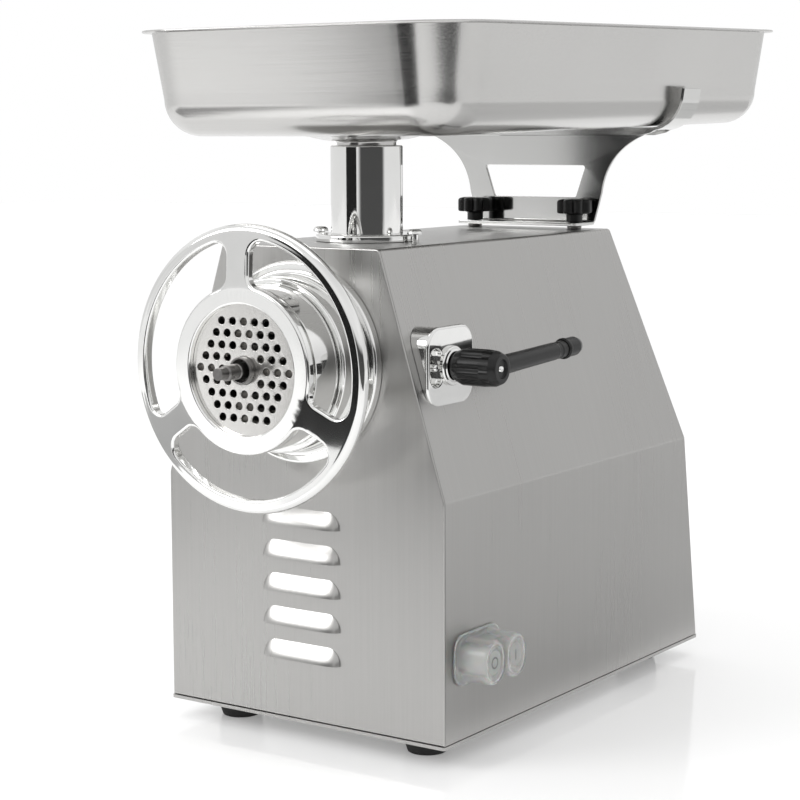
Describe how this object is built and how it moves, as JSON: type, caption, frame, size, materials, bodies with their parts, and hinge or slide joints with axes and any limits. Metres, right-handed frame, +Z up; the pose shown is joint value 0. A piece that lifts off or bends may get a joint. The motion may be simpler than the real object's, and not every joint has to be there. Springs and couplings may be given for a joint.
{
  "type": "electric meat grinder",
  "caption": "Countertop electric meat grinder with a tapered steel housing, a screw-fed head behind a spoked ring nut, a feed tube and a wide feed tray.",
  "frame": {"origin": "bottom centre of the bounding box, at the level of the feet", "axes": "+Z up; the grinding head faces -Y, and the feed tray is longest along Y; +X is the side with the lock handle and the switch"},
  "size_m": [0.311, 0.6139, 0.5413],
  "materials": {
    "brushed_steel": "brushed stainless steel sheet, vertical grain on the upright faces",
    "polished_steel": "mirror-polished stainless steel",
    "satin_steel": "satin stainless steel, softly polished",
    "dark_steel": "turned steel, dark",
    "gear_steel": "machined steel with a film of grease",
    "cast_iron": "painted iron casting",
    "cast_aluminium": "sand-cast aluminium",
    "winding_copper": "varnished copper windings in a steel core",
    "terminal_brass": "brass",
    "black_plastic": "black moulded plastic, half gloss",
    "black_rubber": "black moulded rubber",
    "clear_silicone": "milky clear silicone",
    "white_plastic": "white moulded plastic",
    "grey_plastic": "grey moulded plastic"
  },
  "bodies": {
    "housing": {"housing_shell": "brushed_steel", "front_panel": "brushed_steel", "rear_cover": "brushed_steel", "base_plate": "brushed_steel", "foot_front_left": "black_rubber", "foot_rear_left": "black_rubber", "foot_front_right": "black_rubber", "foot_rear_right": "black_rubber", "head_collar": "polished_steel", "barrel": "polished_steel", "grinding_plate": "satin_steel", "plate_bush": "dark_steel", "feed_tube": "polished_steel", "tube_flange": "polished_steel", "flange_screw_left": "dark_steel", "flange_screw_right": "dark_steel", "tray_bracket": "brushed_steel", "tray_rail": "brushed_steel", "bracket_stud_left": "dark_steel", "bracket_stud_right": "dark_steel", "lock_pad": "polished_steel", "latch_pin": "polished_steel", "lock_boss": "polished_steel", "switch_boot": "clear_silicone", "switch_body": "black_plastic", "gearbox_cover": "cast_aluminium", "gearbox_case": "cast_aluminium", "output_bearing_front": "dark_steel", "output_bearing_rear": "dark_steel", "idler_bearing_front": "dark_steel", "idler_bearing_rear": "dark_steel", "motor_shell": "cast_iron", "motor_rear_bell": "cast_aluminium", "stator": "winding_copper", "motor_bearing_front": "dark_steel", "motor_bearing_rear": "dark_steel", "drive_frame": "cast_iron", "run_capacitor": "grey_plastic", "terminal_block": "terminal_brass", "cable_gland": "black_plastic"},
    "auger_train": {"auger": "satin_steel", "auger_stud": "dark_steel", "cutter_knife": "satin_steel", "output_gear": "gear_steel", "output_shaft": "gear_steel"},
    "idler_train": {"idler_gear": "gear_steel", "idler_pinion_shaft": "gear_steel"},
    "motor_rotor": {"rotor": "dark_steel", "motor_pinion_shaft": "gear_steel", "cooling_fan": "grey_plastic"},
    "ring_nut": {"ring_nut": "polished_steel"},
    "lock_handle": {"lock_screw": "dark_steel", "lock_hub": "black_plastic", "handle_rod": "black_plastic", "handle_cap": "black_plastic"},
    "knob_left": {"star_knob_left": "black_plastic"},
    "knob_right": {"star_knob_right": "black_plastic"},
    "feed_tray": {"feed_tray": "satin_steel"},
    "start_button": {"start_button": "white_plastic"},
    "stop_button": {"stop_button": "white_plastic"}
  },
  "joints": [
    {"name": "auger_spin", "type": "hinge", "parent": "housing", "child": "auger_train", "pos_m": [0, -0.08754, 0.2873], "axis": [0, 1, 0], "continuous": true},
    {"name": "idler_spin", "type": "hinge", "parent": "housing", "child": "idler_train", "pos_m": [0, -0.05424, 0.1953], "axis": [0, 1, 0], "continuous": true},
    {"name": "motor_spin", "type": "hinge", "parent": "housing", "child": "motor_rotor", "pos_m": [0, 0.03486, 0.1233], "axis": [0, 1, 0], "continuous": true},
    {"name": "ring_nut_turn", "type": "hinge", "parent": "housing", "child": "ring_nut", "pos_m": [0, -0.27304, 0.2873], "axis": [0, -1, 0], "range_deg": [0, 270]},
    {"name": "lock_turn", "type": "hinge", "parent": "housing", "child": "lock_handle", "pos_m": [0.14, -0.17464, 0.2873], "axis": [1, 0, 0], "range_deg": [0, 270]},
    {"name": "knob_left_turn", "type": "hinge", "parent": "housing", "child": "knob_left", "pos_m": [-0.0495, 0.10336, 0.39], "axis": [0, 0, 1], "range_deg": [0, 360]},
    {"name": "knob_right_turn", "type": "hinge", "parent": "housing", "child": "knob_right", "pos_m": [0.0495, 0.10336, 0.39], "axis": [0, 0, 1], "range_deg": [0, 360]},
    {"name": "tray_lift", "type": "slide", "parent": "housing", "child": "feed_tray", "axis": [0, 0, 1], "range_m": [0, 0.05]},
    {"name": "start_press", "type": "slide", "parent": "housing", "child": "start_button", "axis": [-1, 0, 0], "range_m": [0, 0.003], "stiffness_N_per_m": 800},
    {"name": "stop_press", "type": "slide", "parent": "housing", "child": "stop_button", "axis": [-1, 0, 0], "range_m": [0, 0.003], "stiffness_N_per_m": 800}
  ],
  "couplings": [
    {"joint": "idler_spin", "follows": "auger_spin", "ratio": -2.8333},
    {"joint": "motor_spin", "follows": "auger_spin", "ratio": 7.6282}
  ]
}
